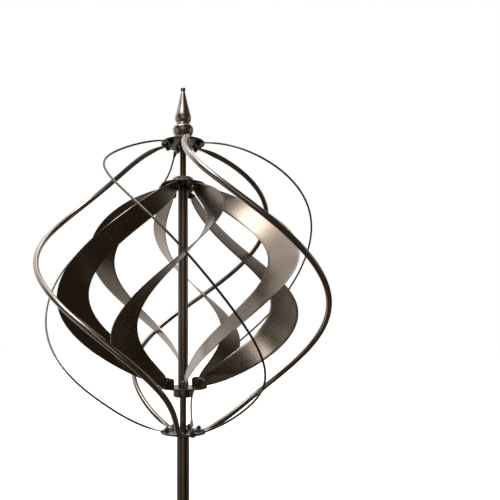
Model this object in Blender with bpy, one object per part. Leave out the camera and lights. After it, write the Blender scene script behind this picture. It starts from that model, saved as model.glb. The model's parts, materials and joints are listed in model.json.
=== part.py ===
"""Kinetic wind sculpture on a garden stake.

Two cages of bent metal turn freely, one inside the other, on a spindle at the top of a pole. The outer
cage has three thick tubes and three thin wires between two discs. The inner cage has six crescent blades
of sheet metal between two plates. A fork with a centre spike holds the pole in the ground.

Units are metres and +Z is up. The origin is on the pole's axis at soil level.
"""

import math

import bmesh
import bpy
from mathutils import Vector

# Main sizes
HEAD_HEIGHT = 1.330  # soil to the middle of the head
HUB_SPAN = 0.450  # between the mid-planes of the outer cage's two discs
PLATE_INSET = 0.067  # from a disc of the outer cage down to the plate of the inner cage
FORK_DEPTH = 0.248  # soil to the ends of the prongs
GAP = 0.0003  # between pieces that touch
RUNNING_CLEARANCE = 0.0004  # round a shaft that a bearing turns on

# Stake
POLE_RADIUS = 0.0095
POLE_WALL = 0.0012
POLE_SECTIONS = ("pole_lower", "pole_middle", "pole_upper")
SPIGOT_LENGTH = 0.040  # each section's lower end is drawn in to fit inside the one below
SPIGOT_WALL = 0.0010
PLUG_LENGTH = 0.035
COLLAR_WALL = 0.0027
COLLAR_HEIGHT = 0.022
COLLAR_FLOOR = 0.003
PRONG_RADIUS = 0.004
PRONG_REACH = 0.127
PRONG_BEND = 0.016
PRONG_TURNS_DEG = (98.0, 185.0, 305.0)
SPIKE_CLEARANCE = 0.0013  # inside the pole
SPIKE_SWELL = 0.0016
SPIKE_NARROW_DEPTH = 0.145
SPIKE_SWELL_DEPTH = 0.185
SPIKE_DEPTH = 0.250
SPIKE_SHANK = 0.050  # length inside the pole

# Spindle and bearings
SPINDLE_RADIUS = 0.0050
BEARING_WALL = 0.0024
BEARING_LIP = 0.0014  # of the flange, past the bearing's body
BEARING_FLANGE = 0.0012
BEARING_STAND_OUT = 0.004
WASHER_THICKNESS = 0.0010
FINIAL_CLEARANCE = 0.0010  # between the finial and the bearing that turns under it

# Fasteners
BOLT_RADIUS = 0.0020
BOLT_CLEARANCE = 0.00035
BOLT_SHOULDER = 0.0020  # how far a head or a nut reaches past the shank
BOLT_HEAD_HEIGHT = 0.0028
BOLT_END = 0.0018  # what shows past the nut
NUT_HEIGHT = 0.0032
HOLE_OVERCUT = 0.0020

# Outer cage
DISC_RADIUS = 0.0345
DISC_THICKNESS = 0.0025
DISC_BOLT_INSET = 0.0095  # from the disc's edge to the bolt circle
TAB_END = 0.0065  # from the bolt circle to the end of a flattened arm
TAB_INSET = 0.0015  # from the disc's edge to where an arm leaves it
TAB_BLEND = 0.0270  # the stretch over which a flattened end turns round again
TAB_SETTLE = 0.1100  # the stretch over which an arm's line settles to the height of its flattened end
TAB_ROUNDING = ((0.0, 0.55), (0.0015, 0.82), (0.0045, 1.0))  # (distance from the end, share of the width)

# How the outer cage's arms are bent
ARM_KINDS = (
    {
        "name": "tube_arm",
        "radius": 0.0041,
        "tab_half_width": 0.0056,
        "tab_half_thickness": 0.0012,
        "sides": 8,
        "stand_off": 0.0259,  # from the blades' outer edge to the arm's middle, at its widest
        "pinch": 1.38,  # above 1, an arm stays close to the axis near its ends
        "reach": 0.947,  # the share of the height between the discs that the bend spans
        "evenness": -0.303,  # the part of the height that changes evenly along the arm
        "rise": 0.0117,  # of the widest point
        "first_turn_deg": 174.4,
        "sweep_deg": 71.8,
        "waves": (-0.139, -0.466, 0.0),  # shares of the sweep that come and go once, twice and four times
        "hand_bends": ((4.3, 1.3, -0.0007), (0.3, 0.5, 0.0031), (-6.0, -2.0, -0.0022)),
    },
    {
        "name": "wire_arm",
        "radius": 0.0015,
        "tab_half_width": 0.0038,
        "tab_half_thickness": 0.0007,
        "sides": 6,
        "stand_off": 0.0389,
        "pinch": 1.253,
        "reach": 0.982,
        "evenness": -0.109,
        "rise": 0.0116,
        "first_turn_deg": 234.9,
        "sweep_deg": 55.4,
        "waves": (0.220, -0.539, -0.1315),
        "hand_bends": ((-2.0, 0.4, -0.0028), (-0.5, 3.0, 0.0019), (3.0, -4.3, 0.0005)),
    },
)  # hand_bends are each arm's own lean and extra sweep, in degrees, and extra bulge

# Inner cage
PLATE_RADIUS = 0.0350
PLATE_THICKNESS = 0.0020
SLEEVE_CLEARANCE = 0.00175  # round the spindle
SLEEVE_WALL = 0.0010
BLADE_THICKNESS = 0.0012
BLADE_BULGE = 0.1985
BLADE_WIDTH = 0.0455
BLADE_OUTER_PINCH = 1.45
BLADE_INNER_PINCH = 2.50
BLADE_FIRST_TURN_DEG = 200.0
BLADE_HALF_SWEEP_DEG = 44.0
BLADE_TWIST_EASE = 0.25  # how much faster a blade twists at its middle than on average
BLADE_LEAN_DEG = (12.0, 1.0, -5.0, 5.0, -1.0, -8.0)  # each blade is bent by hand and leans a little
BLADE_END_CLEARANCE = 0.0020  # between a blade's end and its plate
BLADE_END_DEPTH = 0.0150  # height of a blade's end
BLADE_END_SLANT = 0.0045
BLADE_LUG_INSET = 0.0100  # from a lug's inner edge to the blade's end
BLADE_FLAT_END = 0.020  # the last stretch of height, where a blade doesn't twist
LUG_STAND_OFF = 0.01125  # from the sleeve
LUG_OVERHANG = 0.0025  # past the plate's edge
LUG_HEIGHT = 0.0140
LUG_THICKNESS = 0.0015
LUG_BOLT_INSET = 0.0040  # from a lug's outer edge
LUG_BOLT_DEPTH = 0.0092
HOUSING_WALL = 0.0053
HOUSING_HEIGHT = 0.0125
HOUSING_CHAMFER = 0.0012
HOUSING_LIP = 0.0045
INNER_BEARING_WALL = 0.0041
UPPER_COLLAR_HEIGHT = 0.0028
LOCK_NUT_OVERHANG = 0.0011  # past the housing
LOCK_NUT_HEIGHT = 0.0066
LOCK_NUT_NECK = 0.0014
LOCK_NUT_UNDERCUT = 0.0013  # of the neck, inside the housing's radius

# Finial: the radius and the height above the foot of each point of its outline
FINIAL_FOOT_RADIUS = 0.0128
FINIAL_OUTLINE = (
    (0.0136, 0.0096), (0.0160, 0.0146), (0.0166, 0.0186), (0.0156, 0.0231), (0.0118, 0.0268),
    (0.0105, 0.0288), (0.0116, 0.0314), (0.0130, 0.0356), (0.0130, 0.0396), (0.0116, 0.0456),
    (0.0090, 0.0556), (0.0062, 0.0676), (0.0038, 0.0786), (0.0032, 0.0811), (0.0039, 0.0834),
    (0.0042, 0.0854), (0.0034, 0.0876),
)
FINIAL_LENGTH = 0.0888
FINIAL_SOCKET_DEPTH = 0.022

# Facets
ROUND_STEPS = 16
SMALL_STEPS = 10
DISC_STEPS = 24
HEX_STEPS = 6
BEND_STEPS = 6
ARM_STATIONS = 32
ARM_CROWDING = 0.6  # how much closer the stations are near an arm's ends
BLADE_STATIONS = 26
BLADE_CROWDING = 0.35
BLADE_STRIPS = 2
SHARP_ANGLE = math.radians(35.0)

# Finishes
BRONZE = (0.105, 0.085, 0.070)
DARK_BRONZE = (0.060, 0.046, 0.036)
STEEL = (0.240, 0.225, 0.210)
BEARING_BRASS = (0.420, 0.300, 0.150)
ROUGHNESS = 0.38
METALLIC = 0.9

# Sizes that follow from the ones above
PLATE_SPAN = HUB_SPAN - 2 * PLATE_INSET
DISC_FACE = HUB_SPAN / 2 - DISC_THICKNESS / 2
DISC_BACK = HUB_SPAN / 2 + DISC_THICKNESS / 2
PLATE_FACE = PLATE_SPAN / 2 - PLATE_THICKNESS / 2
PLATE_BACK = PLATE_SPAN / 2 + PLATE_THICKNESS / 2
SPINDLE_SEAT = SPINDLE_RADIUS + GAP
SPINDLE_BORE = SPINDLE_RADIUS + RUNNING_CLEARANCE
BEARING_RADIUS = SPINDLE_BORE + BEARING_WALL
BEARING_SEAT = BEARING_RADIUS + GAP
HOUSING_BORE = SPINDLE_BORE + INNER_BEARING_WALL + GAP
HOUSING_RADIUS = HOUSING_BORE + HOUSING_WALL
SLEEVE_RADIUS = SPINDLE_RADIUS + SLEEVE_CLEARANCE + SLEEVE_WALL
HEAD_RADIUS = BOLT_RADIUS + BOLT_SHOULDER
DISC_BOLT_CIRCLE = DISC_RADIUS - DISC_BOLT_INSET
TAB_INNER_RADIUS = DISC_BOLT_CIRCLE - TAB_END
TAB_OUTER_RADIUS = DISC_RADIUS - TAB_INSET
LUG_INNER_RADIUS = SLEEVE_RADIUS + LUG_STAND_OFF
LUG_OUTER_RADIUS = PLATE_RADIUS + LUG_OVERHANG
LUG_BOLT_RADIUS = LUG_OUTER_RADIUS - LUG_BOLT_INSET
LUG_NEAR_FACE = BLADE_THICKNESS / 2 + GAP
LUG_FAR_FACE = LUG_NEAR_FACE + LUG_THICKNESS
POLE_BORE = POLE_RADIUS - POLE_WALL
POLE_SEAT = POLE_RADIUS + GAP
COLLAR_RADIUS = POLE_SEAT + COLLAR_WALL
SPIKE_RADIUS = POLE_BORE - SPIKE_CLEARANCE
POLE_FOOT = COLLAR_FLOOR + GAP
WASHER_TOP = HEAD_HEIGHT - DISC_BACK - BEARING_FLANGE - 2 * GAP
POLE_TOP = WASHER_TOP - WASHER_THICKNESS - GAP
HOUSING_FLOOR = HEAD_HEIGHT - PLATE_BACK - GAP - HOUSING_HEIGHT
FINIAL_FOOT = HEAD_HEIGHT + DISC_BACK + BEARING_FLANGE + FINIAL_CLEARANCE


def clear_scene():
    """Remove every object, so that the script can run again in an open file."""
    for item in list(bpy.data.objects):
        bpy.data.objects.remove(item, do_unlink=True)


def polar(radius, turn, height):
    """Return the point at a radius, an angle in radians and a height."""
    return Vector((radius * math.cos(turn), radius * math.sin(turn), height))


def blend(start, end, share):
    """Return the value that lies at a share of the way from start to end."""
    return start + (end - start) * share


def clamp(value, limit):
    """Return the value kept between minus and plus a limit."""
    return max(-limit, min(limit, value))


def crowded(share, crowding):
    """Return an even share moved towards the nearer end, so that stations crowd at both ends."""
    return blend(share, (1 - math.cos(math.pi * share)) / 2, crowding)


def finish(name, colour):
    """Return a new Principled material for one piece."""
    made = bpy.data.materials.new(name + "_finish")
    made.use_nodes = True
    shader = made.node_tree.nodes["Principled BSDF"]
    shader.inputs["Base Color"].default_value = (*colour, 1.0)
    shader.inputs["Roughness"].default_value = ROUGHNESS
    shader.inputs["Metallic"].default_value = METALLIC
    return made


def place(name, bm, colour, parent=None):
    """Turn a bmesh into a named, smooth-shaded object with its own material."""
    bmesh.ops.recalc_face_normals(bm, faces=bm.faces[:])
    mesh = bpy.data.meshes.new(name)
    bm.to_mesh(mesh)
    bm.free()
    mesh.shade_smooth()
    mesh.set_sharp_from_angle(angle=SHARP_ANGLE)
    made = bpy.data.objects.new(name, mesh)
    made.data.materials.append(finish(name, colour))
    made.parent = parent
    bpy.context.scene.collection.objects.link(made)
    return made


def turned(bm, outline, steps, centre=(0.0, 0.0, 0.0), axis=(0.0, 0.0, 1.0), side=(1.0, 0.0, 0.0)):
    """Spin an outline of (radius, height) points once round an axis, into a closed body.

    An outline that starts and ends on the axis gives a solid; any other is closed into a ring.
    """
    centre, axis, side = Vector(centre), Vector(axis), Vector(side)
    points = [bm.verts.new(centre + side * radius + axis * height) for radius, height in outline]
    edges = [bm.edges.new(pair) for pair in zip(points, points[1:])]
    is_ring = outline[0][0] > 0.0
    if is_ring:
        edges.append(bm.edges.new((points[-1], points[0])))
    bmesh.ops.spin(
        bm, geom=points + edges, cent=centre, axis=axis, angle=2 * math.pi, steps=steps, use_merge=True
    )
    if not is_ring:
        on_axis = [v for v in bm.verts if (v.co - centre).cross(axis).length < 1e-7]
        bmesh.ops.remove_doubles(bm, verts=on_axis, dist=1e-6)


def solid_outline(outer):
    """Close an outer outline of (radius, height) points onto the axis at both ends."""
    return [(0.0, outer[0][1]), *outer, (0.0, outer[-1][1])]


def ring_outline(inner_radius, outer_radius, low, high):
    """Return the outline of a plain ring."""
    return [(inner_radius, low), (outer_radius, low), (outer_radius, high), (inner_radius, high)]


def place_turned(name, outline, colour, parent=None, steps=ROUND_STEPS):
    """Make one turned piece on the pole's axis."""
    bm = bmesh.new()
    turned(bm, outline, steps)
    return place(name, bm, colour, parent)


def ellipse(point, wide, thick, sides):
    """Return the corners of a section round a point, from its half width and half thickness as vectors."""
    angles = [2 * math.pi * (corner + 0.5) / sides for corner in range(sides)]
    return [point + wide * math.cos(angle) + thick * math.sin(angle) for angle in angles]


def direction(path, index):
    """Return the direction in which a path runs at one of its points."""
    return (path[min(index + 1, len(path) - 1)] - path[max(index - 1, 0)]).normalized()


def loft(bm, sections):
    """Skin a row of sections, each a list of corners, and close both ends."""
    rings = [[bm.verts.new(corner) for corner in section] for section in sections]
    sides = len(rings[0])
    for ring, following in zip(rings, rings[1:]):
        for corner in range(sides):
            after = (corner + 1) % sides
            bm.faces.new((ring[corner], ring[after], following[after], following[corner]))
    bm.faces.new(rings[0])
    bm.faces.new(rings[-1])


def guide(name, bm, parent=None):
    """Make a hidden body that other pieces are cut with or joined to."""
    made = place(name, bm, STEEL, parent)
    made.hide_render = True
    made.display_type = "WIRE"
    return made


def apply_boolean(target, tool, operation="DIFFERENCE"):
    """Cut a piece with a tool, or join the tool to it, as a modifier."""
    step = target.modifiers.new(tool.name, "BOOLEAN")
    step.operation = operation
    step.solver = "EXACT"
    step.object = tool


def axis_empty(name):
    """Make the empty that a rotor's pieces hang on, on the axis at the middle of the head."""
    made = bpy.data.objects.new(name, None)
    made.location = (0.0, 0.0, HEAD_HEIGHT)
    bpy.context.scene.collection.objects.link(made)
    return made


def end_name(end):
    """Return the word for an end of a cage, from its sign."""
    return "top" if end > 0 else "bottom"


# The stake


def prong_path():
    """Return a prong's centre line: out from the collar, round a bend and straight down."""
    bend_centre = Vector((PRONG_REACH - PRONG_BEND, 0.0, PRONG_RADIUS - PRONG_BEND))
    path = [Vector((COLLAR_RADIUS + GAP, 0.0, PRONG_RADIUS))]
    for step in range(BEND_STEPS + 1):
        angle = math.pi / 2 * (1 - step / BEND_STEPS)
        path.append(bend_centre + Vector((math.cos(angle), 0.0, math.sin(angle))) * PRONG_BEND)
    path.append(Vector((PRONG_REACH, 0.0, -FORK_DEPTH)))
    return path


def make_prong(name, turn):
    """Make one bent rod of the fork."""
    path = prong_path()
    across = Vector((0.0, 1.0, 0.0))
    sections = []
    for index, point in enumerate(path):
        other = across.cross(direction(path, index))
        sections.append(ellipse(point, across * PRONG_RADIUS, other * PRONG_RADIUS, SMALL_STEPS))
    bm = bmesh.new()
    loft(bm, sections)
    made = place(name, bm, DARK_BRONZE)
    made.rotation_euler = (0.0, 0.0, turn)


def make_pole():
    """Make the pole's sections; all but the lowest end in a spigot that fits the one below."""
    length = (POLE_TOP - POLE_FOOT) / len(POLE_SECTIONS)
    spigot_radius = POLE_BORE - GAP
    spigot_bore = spigot_radius - SPIGOT_WALL
    for index, name in enumerate(POLE_SECTIONS):
        low = POLE_FOOT + index * length
        outline = ring_outline(POLE_BORE, POLE_RADIUS, low, low + length - GAP)
        if index > 0:
            outline = outline[1:] + [
                (POLE_BORE, low + POLE_WALL), (spigot_bore, low), (spigot_bore, low - SPIGOT_LENGTH),
                (spigot_radius, low - SPIGOT_LENGTH), (spigot_radius, low),
            ]
        place_turned(name, outline, DARK_BRONZE)


def make_stake():
    """Make the fork, the pole and the plug in its top."""
    spike_hole = SPIKE_RADIUS + GAP
    place_turned("ground_collar", [
        (spike_hole, 0.0), (COLLAR_RADIUS, 0.0), (COLLAR_RADIUS, COLLAR_HEIGHT), (POLE_SEAT, COLLAR_HEIGHT),
        (POLE_SEAT, COLLAR_FLOOR), (spike_hole, COLLAR_FLOOR),
    ], DARK_BRONZE)
    place_turned("ground_spike", [
        (0.0, -SPIKE_DEPTH), (SPIKE_RADIUS + SPIKE_SWELL, -SPIKE_SWELL_DEPTH),
        (SPIKE_RADIUS, -SPIKE_NARROW_DEPTH), (SPIKE_RADIUS, SPIKE_SHANK), (0.0, SPIKE_SHANK),
    ], DARK_BRONZE)
    for number, turn in enumerate(PRONG_TURNS_DEG, start=1):
        make_prong(f"prong_{number}", math.radians(turn))
    make_pole()
    place_turned("pole_top_plug", ring_outline(
        SPINDLE_SEAT, POLE_BORE - GAP, POLE_TOP - PLUG_LENGTH, POLE_TOP,
    ), STEEL)


def make_spindle():
    """Make the spindle with the shoulder that carries the inner cage, the washer and the finial."""
    socket_end = FINIAL_FOOT + FINIAL_SOCKET_DEPTH
    shoulder_radius = BEARING_RADIUS - GAP
    shoulder_top = HOUSING_FLOOR + HOUSING_LIP - GAP
    place_turned("spindle", solid_outline([
        (SPINDLE_RADIUS, POLE_TOP - PLUG_LENGTH), (SPINDLE_RADIUS, HOUSING_FLOOR),
        (shoulder_radius, HOUSING_FLOOR), (shoulder_radius, shoulder_top),
        (SPINDLE_RADIUS, shoulder_top), (SPINDLE_RADIUS, socket_end - GAP),
    ]), BRONZE)
    place_turned("thrust_washer", ring_outline(
        SPINDLE_SEAT, POLE_RADIUS, POLE_TOP + GAP, WASHER_TOP,
    ), STEEL)
    outline = [(0.0, socket_end), (SPINDLE_SEAT, socket_end), (SPINDLE_SEAT, FINIAL_FOOT)]
    outline.append((FINIAL_FOOT_RADIUS, FINIAL_FOOT))
    outline += [(radius, FINIAL_FOOT + height) for radius, height in FINIAL_OUTLINE]
    outline.append((0.0, FINIAL_FOOT + FINIAL_LENGTH))
    place_turned("finial", outline, BRONZE)


# Fasteners


def add_bolt(bm, seat, axis, side, grip):
    """Add a hexagon bolt with its nut run up; the head sits on a seat and the shank runs back from it."""
    nut_face = -grip - GAP
    nut_back = nut_face - NUT_HEIGHT
    turned(bm, solid_outline([
        (BOLT_RADIUS, nut_back - BOLT_END), (BOLT_RADIUS, nut_back), (HEAD_RADIUS, nut_back),
        (HEAD_RADIUS, nut_face), (BOLT_RADIUS, nut_face), (BOLT_RADIUS, GAP), (HEAD_RADIUS, GAP),
        (HEAD_RADIUS, BOLT_HEAD_HEIGHT + GAP),
    ]), HEX_STEPS, seat, axis, side)


def add_hole(bm, seat, axis, side, grip):
    """Add the body that cuts a bolt's clearance hole."""
    radius = BOLT_RADIUS + BOLT_CLEARANCE
    low, high = -grip - HOLE_OVERCUT, HOLE_OVERCUT
    turned(bm, solid_outline([(radius, low), (radius, high)]), SMALL_STEPS, seat, axis, side)


def make_fasteners(cage, end, seats, parent):
    """Make one end's bolts and the tool that cuts their holes; each seat is (point, axis, side, grip)."""
    group = f"{cage}_{end_name(end)}"
    holes = bmesh.new()
    for number, (seat, axis, side, grip) in enumerate(seats, start=1):
        bolt = bmesh.new()
        add_bolt(bolt, seat, axis, side, grip)
        place(f"{group}_bolt_{number}", bolt, STEEL, parent)
        add_hole(holes, seat, axis, side, grip)
    return guide(f"{group}_holes_cutter", holes, parent)


# The outer cage


def arm_point(kind, bend, share):
    """Return the (radius, height, turn) of a bent arm's centre line at a share of its length."""
    lean, extra_sweep, extra_bulge = bend
    angle = math.pi * share
    bulge = BLADE_BULGE + kind["stand_off"] + extra_bulge
    level = blend(math.cos(angle), 1 - 2 * share, kind["evenness"])
    height = HUB_SPAN / 2 * kind["reach"] * level + kind["rise"] * math.sin(angle)
    once, twice, four_times = kind["waves"]
    progress = share + once * math.sin(angle) + twice * math.sin(2 * angle) + four_times * math.sin(4 * angle)
    turn = kind["first_turn_deg"] + lean + kind["sweep_deg"] * progress + extra_sweep * (progress - 0.5)
    return bulge * math.sin(angle) ** kind["pinch"], height, math.radians(turn)


def freed(radius, stretch):
    """Return how far an arm is past a stretch that starts where it leaves the disc, from 0 to 1."""
    share = min(1.0, max(0.0, (radius - TAB_OUTER_RADIUS) / stretch))
    return share * share * (3 - 2 * share)


def arm_line(kind, number):
    """Return an arm's centre line as (radius, height, turn), with its ends laid flat on the discs."""
    tab_height = DISC_FACE - GAP - kind["tab_half_thickness"]
    bent = [arm_point(kind, kind["hand_bends"][number], crowded(index / ARM_STATIONS, ARM_CROWDING))
            for index in range(1, ARM_STATIONS)]
    bent = [(radius, height, turn + math.radians(120.0 * number))
            for radius, height, turn in bent if radius > TAB_OUTER_RADIUS]
    above, below = tab_height - bent[0][1], -tab_height - bent[-1][1]
    body = []
    for radius, height, turn in bent:
        shift = (above if height > 0 else below) * (1 - freed(radius, TAB_SETTLE))
        body.append((radius, clamp(height + shift, tab_height), turn))
    tab_radii = [TAB_INNER_RADIUS + distance for distance, _ in TAB_ROUNDING] + [TAB_OUTER_RADIUS]
    top = [(radius, tab_height, body[0][2]) for radius in tab_radii]
    bottom = [(radius, -tab_height, body[-1][2]) for radius in reversed(tab_radii)]
    return top + body + bottom


def tab_share(radius):
    """Return the share of its full width that a flattened end has, at a distance from the axis."""
    for distance, share in TAB_ROUNDING:
        if radius <= TAB_INNER_RADIUS + distance:
            return share
    return 1.0


def make_arm(kind, number, line, rotor, holes):
    """Make one arm: round along its bend, and flattened where it is bolted to the discs."""
    path = [polar(radius, turn, height) for radius, height, turn in line]
    sections = []
    for index, point in enumerate(path):
        along = direction(path, index)
        level = along.cross(Vector((0.0, 0.0, 1.0))).normalized()
        share = freed(line[index][0], TAB_BLEND)
        wide = blend(kind["tab_half_width"], kind["radius"], share) * tab_share(line[index][0])
        thick = blend(kind["tab_half_thickness"], kind["radius"], share)
        sections.append(ellipse(point, level * wide, level.cross(along) * thick, kind["sides"]))
    bm = bmesh.new()
    loft(bm, sections)
    made = place(f"{kind['name']}_{number + 1}", bm, BRONZE, rotor)
    for tool in holes.values():
        apply_boolean(made, tool)


def make_disc(end, holes, rotor):
    """Make one disc of the outer cage and the bearing in it."""
    name = f"outer_{end_name(end)}"
    low = end * HUB_SPAN / 2 - DISC_THICKNESS / 2
    disc = place_turned(f"{name}_hub", ring_outline(
        BEARING_SEAT, DISC_RADIUS, low, low + DISC_THICKNESS,
    ), BRONZE, rotor, steps=DISC_STEPS)
    apply_boolean(disc, holes)
    front = DISC_FACE - BEARING_STAND_OUT
    flange = DISC_BACK + GAP
    back = DISC_BACK + BEARING_FLANGE
    flange_radius = BEARING_RADIUS + BEARING_LIP
    outline = [
        (SPINDLE_BORE, front), (BEARING_RADIUS, front), (BEARING_RADIUS, flange),
        (flange_radius, flange), (flange_radius, back), (SPINDLE_BORE, back),
    ]
    place_turned(f"{name}_bearing", [(radius, end * height) for radius, height in outline],
                 BEARING_BRASS, rotor)


def make_outer_cage():
    """Make the discs, bearings, tubes, wires and fasteners of the outer cage."""
    rotor = axis_empty("outer_rotor_axis")
    arms = [(kind, number, arm_line(kind, number)) for kind in ARM_KINDS for number in range(3)]
    holes = {}
    for end in (1, -1):
        seats = []
        for kind, _, line in arms:
            turn = line[0 if end > 0 else -1][2]
            seat = polar(DISC_BOLT_CIRCLE, turn, end * DISC_BACK)
            outward, side = Vector((0.0, 0.0, end)), polar(1.0, turn, 0.0)
            seats.append((seat, outward, side, DISC_THICKNESS + GAP + 2 * kind["tab_half_thickness"]))
        holes[end] = make_fasteners("outer", end, seats, rotor)
        make_disc(end, holes[end], rotor)
    for kind, number, line in arms:
        make_arm(kind, number, line, rotor, holes)


# The inner cage


def blade_turn(height):
    """Return a blade's turn at a height above the middle of the head."""
    level = clamp(height / (PLATE_SPAN / 2), 1 - BLADE_FLAT_END / (PLATE_SPAN / 2))
    eased = (1 + BLADE_TWIST_EASE) * level - BLADE_TWIST_EASE * level ** 3
    return math.radians(BLADE_HALF_SWEEP_DEG) * eased


def blade_edge(share, end_radius, bulge, reach, pinch):
    """Return the (radius, height) of one edge of a blade at a share of its length."""
    angle = math.pi * share
    return blend(end_radius, bulge, math.sin(angle) ** pinch), reach * math.cos(angle)


def make_blade(name, turn, rotor, holes):
    """Make one crescent blade: a ribbon whose width points at the axis, twisted up its height."""
    bm = bmesh.new()
    outer_end = LUG_INNER_RADIUS + BLADE_LUG_INSET
    reach = PLATE_FACE - BLADE_END_CLEARANCE
    columns = []
    for index in range(BLADE_STATIONS + 1):
        share = crowded(index / BLADE_STATIONS, BLADE_CROWDING)
        outer = blade_edge(share, outer_end, BLADE_BULGE, reach, BLADE_OUTER_PINCH)
        inner = blade_edge(share, outer_end + BLADE_END_SLANT, BLADE_BULGE - BLADE_WIDTH,
                           reach - BLADE_END_DEPTH, BLADE_INNER_PINCH)
        column = []
        for strip in range(BLADE_STRIPS + 1):
            across = strip / BLADE_STRIPS
            radius, height = blend(outer[0], inner[0], across), blend(outer[1], inner[1], across)
            column.append(bm.verts.new(polar(radius, turn + blade_turn(height), height)))
        columns.append(column)
    for column, following in zip(columns, columns[1:]):
        for strip in range(BLADE_STRIPS):
            bm.faces.new((column[strip], column[strip + 1], following[strip + 1], following[strip]))
    made = place(name, bm, BRONZE, rotor)
    sheet = made.modifiers.new("sheet", "SOLIDIFY")
    sheet.thickness = BLADE_THICKNESS
    sheet.offset = 0.0
    sheet.use_even_offset = True
    for tool in holes.values():
        apply_boolean(made, tool)


def lug_box(bm, turn, end):
    """Add the lug that a blade's end is bolted to, as a folded ear of the plate."""
    radial, tangent = polar(1.0, turn, 0.0), polar(1.0, turn + math.pi / 2, 0.0)
    corners = []
    for depth in (-PLATE_THICKNESS / 2, LUG_HEIGHT):
        for offset in (LUG_NEAR_FACE, LUG_FAR_FACE):
            for radius in (LUG_INNER_RADIUS, LUG_OUTER_RADIUS):
                point = radial * radius + tangent * offset
                point.z = end * (PLATE_FACE - depth)
                corners.append(bm.verts.new(point))
    for face in ((0, 1, 3, 2), (4, 5, 7, 6), (0, 1, 5, 4), (2, 3, 7, 6), (0, 2, 6, 4), (1, 3, 7, 5)):
        bm.faces.new([corners[index] for index in face])


def make_plate(end, turns, holes, rotor):
    """Make one plate with its six lugs."""
    name = f"inner_{end_name(end)}"
    low = end * PLATE_SPAN / 2 - PLATE_THICKNESS / 2
    plate = place_turned(f"{name}_plate", ring_outline(
        SLEEVE_RADIUS + GAP, PLATE_RADIUS, low, low + PLATE_THICKNESS,
    ), BRONZE, rotor, steps=DISC_STEPS)
    lugs = bmesh.new()
    for turn in turns:
        lug_box(lugs, turn, end)
    apply_boolean(plate, guide(f"{name}_lugs_guide", lugs, rotor), "UNION")
    apply_boolean(plate, holes)


def make_lower_housing(rotor):
    """Make the bearing under the lower plate and the collar that holds it."""
    high = -PLATE_BACK - GAP
    low = high - HOUSING_HEIGHT
    bearing_low = low + HOUSING_LIP
    place_turned("inner_lower_bearing", ring_outline(
        SPINDLE_BORE, HOUSING_BORE - GAP, bearing_low, high - GAP,
    ), BEARING_BRASS, rotor)
    place_turned("inner_lower_collar", [
        (BEARING_SEAT, low), (HOUSING_RADIUS - HOUSING_CHAMFER, low), (HOUSING_RADIUS, low + HOUSING_CHAMFER),
        (HOUSING_RADIUS, high), (HOUSING_BORE, high), (HOUSING_BORE, bearing_low - GAP),
        (BEARING_SEAT, bearing_low - GAP),
    ], BRONZE, rotor)


def make_upper_housing(rotor):
    """Make the bearing over the upper plate, its collar and the lock nut."""
    low = PLATE_BACK + GAP
    high = low + UPPER_COLLAR_HEIGHT
    place_turned("inner_upper_bearing", ring_outline(
        SPINDLE_BORE, HOUSING_BORE - GAP, low + GAP, high,
    ), BEARING_BRASS, rotor)
    place_turned("inner_upper_collar", ring_outline(HOUSING_BORE, HOUSING_RADIUS, low, high), BRONZE, rotor)
    nut_bore = SPINDLE_BORE + GAP
    nut_low = high + GAP
    nut_high = nut_low + LOCK_NUT_NECK + LOCK_NUT_HEIGHT
    neck_radius = HOUSING_RADIUS - LOCK_NUT_UNDERCUT
    lock_nut = place_turned("bearing_lock_nut", ring_outline(nut_bore, neck_radius, nut_low, nut_high),
                            BRONZE, rotor)
    hexagon = bmesh.new()
    turned(hexagon, ring_outline(
        (nut_bore + neck_radius) / 2, HOUSING_RADIUS + LOCK_NUT_OVERHANG, nut_low + LOCK_NUT_NECK,
        nut_high - GAP,
    ), HEX_STEPS)
    apply_boolean(lock_nut, guide("lock_nut_hexagon_guide", hexagon, rotor), "UNION")


def make_inner_cage():
    """Make the plates, sleeve, bearings, blades and fasteners of the inner cage."""
    rotor = axis_empty("inner_rotor_axis")
    turns = [math.radians(BLADE_FIRST_TURN_DEG + 60.0 * index + lean)
             for index, lean in enumerate(BLADE_LEAN_DEG)]
    holes = {}
    for end in (1, -1):
        end_turns = [turn + blade_turn(end * PLATE_SPAN / 2) for turn in turns]
        seats = []
        for turn in end_turns:
            tangent = polar(1.0, turn + math.pi / 2, 0.0)
            seat = polar(LUG_BOLT_RADIUS, turn, end * (PLATE_FACE - LUG_BOLT_DEPTH)) + tangent * LUG_FAR_FACE
            seats.append((seat, tangent, Vector((0.0, 0.0, 1.0)), LUG_THICKNESS + GAP + BLADE_THICKNESS))
        holes[end] = make_fasteners("inner", end, seats, rotor)
        make_plate(end, end_turns, holes[end], rotor)
    for number, turn in enumerate(turns, start=1):
        make_blade(f"blade_{number}", turn, rotor, holes)
    place_turned("inner_sleeve", ring_outline(
        SLEEVE_RADIUS - SLEEVE_WALL, SLEEVE_RADIUS, -PLATE_BACK, PLATE_BACK,
    ), BRONZE, rotor)
    make_lower_housing(rotor)
    make_upper_housing(rotor)


def build():
    """Build the whole sculpture."""
    clear_scene()
    make_stake()
    make_spindle()
    make_outer_cage()
    make_inner_cage()


build()
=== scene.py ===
"""Looks of the kinetic wind sculpture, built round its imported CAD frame.

Units are metres and +Z is up. The origin is on the pole's axis at soil level. Each visible piece is built
here with a fine surface, in the place of its CAD node, and rides on that node's body. The bearings, the
thrust washer and the plug in the pole's top keep their CAD shapes.
"""

import json
import math

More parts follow.
